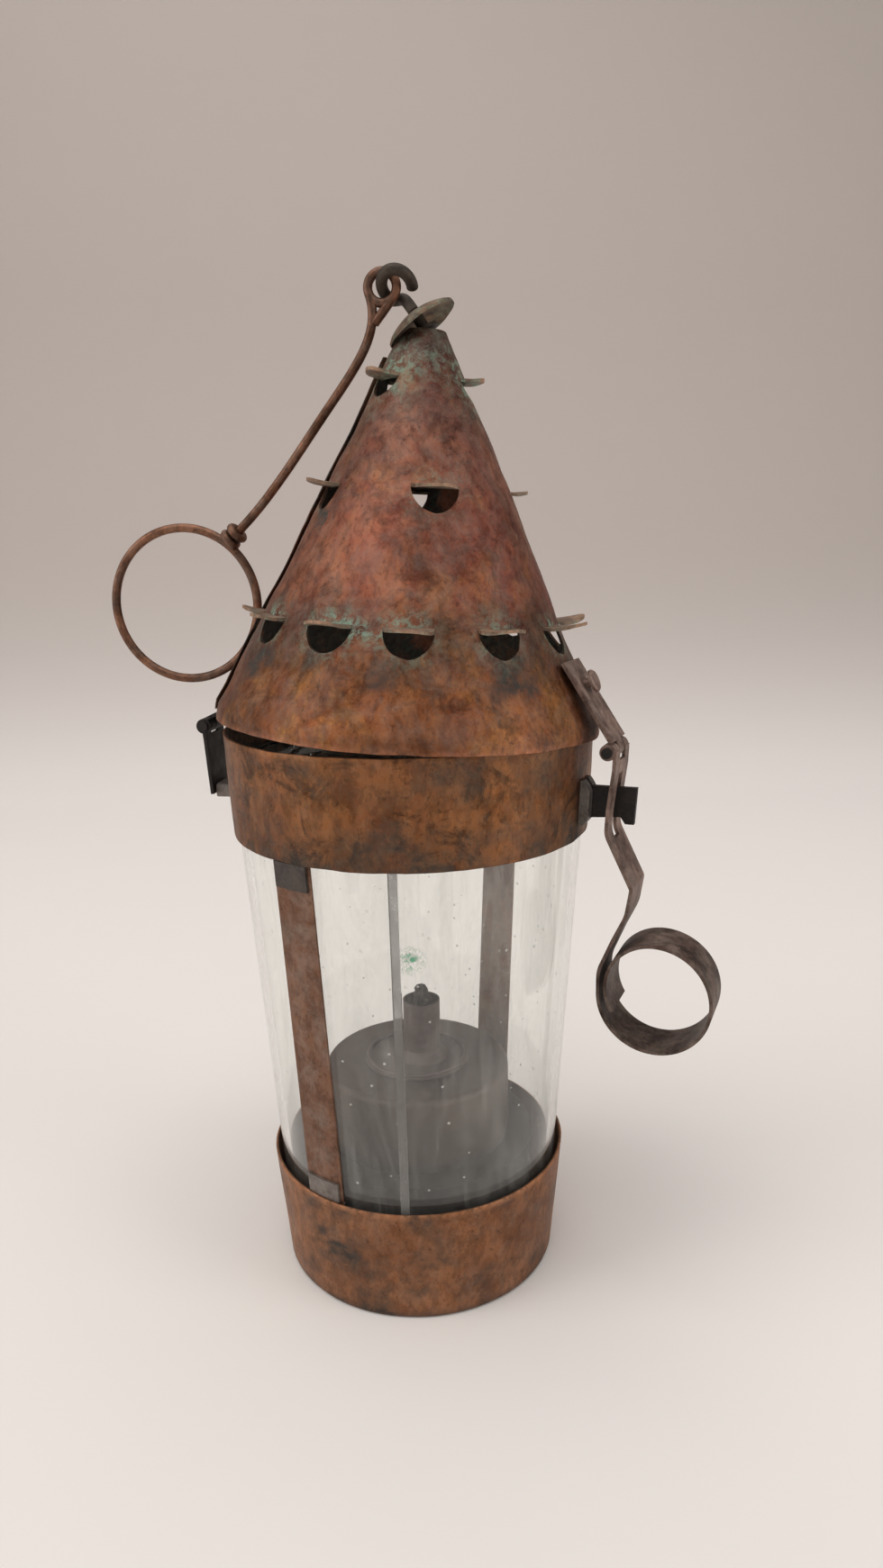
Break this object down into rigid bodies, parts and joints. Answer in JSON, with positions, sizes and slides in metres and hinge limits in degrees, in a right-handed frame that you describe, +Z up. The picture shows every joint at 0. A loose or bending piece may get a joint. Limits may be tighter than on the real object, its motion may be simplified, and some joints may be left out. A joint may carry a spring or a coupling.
{
  "type": "hand lantern",
  "caption": "Hand lantern with a tapered glass between copper cup and band, a hinged pierced conical hood with hook and ring, a hasp with finger loop, and a lift-out wick lamp.",
  "frame": {"origin": "centre of the base's underside, on the floor it stands on", "axes": "+Z up along the glass, -X towards the hood hinge, +X towards the hasp, which stands 14 degrees round towards -Y, -Y the side the lantern is seen from"},
  "size_m": [0.1705, 0.105, 0.2763],
  "materials": {
    "copper_base": "aged copper, satin, brown patina",
    "copper_band": "aged copper, orange-brown patina with soot",
    "copper_hood": "aged copper, reddish brown patina with verdigris",
    "copper_flap": "aged copper, dull brown edges with verdigris",
    "copper_strut": "aged copper strip, matte",
    "copper_strap": "aged copper strap, greyish brown",
    "copper_wire": "brown copper wire",
    "iron_wire": "dark oxidised wire",
    "dark_iron": "blackened sheet",
    "solder": "dull grey solder",
    "tin": "dull grey tinned sheet",
    "lamp_glass": "clear old glass with smudges",
    "wick_cloth": "charred wick"
  },
  "bodies": {
    "lantern": {"base_wall": "copper_base", "base_plate": "copper_base", "glass_chimney": "lamp_glass", "glass_seam": "lamp_glass", "strut_front": "copper_strut", "strut_rear": "copper_strut", "solder_front_foot": "solder", "solder_front_top": "solder", "solder_rear_foot": "solder", "solder_rear_top": "solder", "upper_band": "copper_band", "hinge_band_leaf": "dark_iron", "hinge_pin": "dark_iron", "hinge_solder": "solder", "staple_plate": "dark_iron", "staple_solder": "solder"},
    "hood": {"hood_cone": "copper_hood", "hood_lap": "copper_hood", "louver_flaps_lower": "copper_flap", "louver_flaps_middle": "copper_flap", "louver_flaps_upper": "copper_flap", "cap_disc": "copper_flap", "hook_wire": "iron_wire", "hook_washer": "copper_flap", "hinge_hood_leaf": "dark_iron", "hinge_hood_rivet": "dark_iron", "hasp_hood_leaf": "copper_strap", "hasp_leaf_rivet": "dark_iron", "hasp_pin": "dark_iron"},
    "hasp": {"hasp_strap": "copper_strap"},
    "hanger": {"hanger_wire": "copper_wire"},
    "tank": {"tank_drum": "tin", "tank_shoulder": "tin", "tank_font": "tin"},
    "burner": {"burner_plate": "tin", "wick_tube": "tin", "wick": "wick_cloth"}
  },
  "joints": [
    {"name": "hood_hinge", "type": "hinge", "parent": "lantern", "child": "hood", "pos_m": [-0.0574, 0, 0.1587], "axis": [0, -1, 0], "range_deg": [0, 110]},
    {"name": "hasp_hinge", "type": "hinge", "parent": "hood", "child": "hasp", "pos_m": [0.05628, -0.01403, 0.1554], "axis": [-0.2419, -0.9703, 0], "range_deg": [0, 90]},
    {"name": "hanger_swing", "type": "hinge", "parent": "hood", "child": "hanger", "pos_m": [-0.0043, 0, 0.2714], "axis": [0, 1, 0], "range_deg": [0, 135]},
    {"name": "tank_lift", "type": "slide", "parent": "lantern", "child": "tank", "axis": [0, 0, 1], "range_m": [0, 0.06]},
    {"name": "burner_lift", "type": "slide", "parent": "tank", "child": "burner", "axis": [0, 0, 1], "range_m": [0, 0.012]}
  ]
}
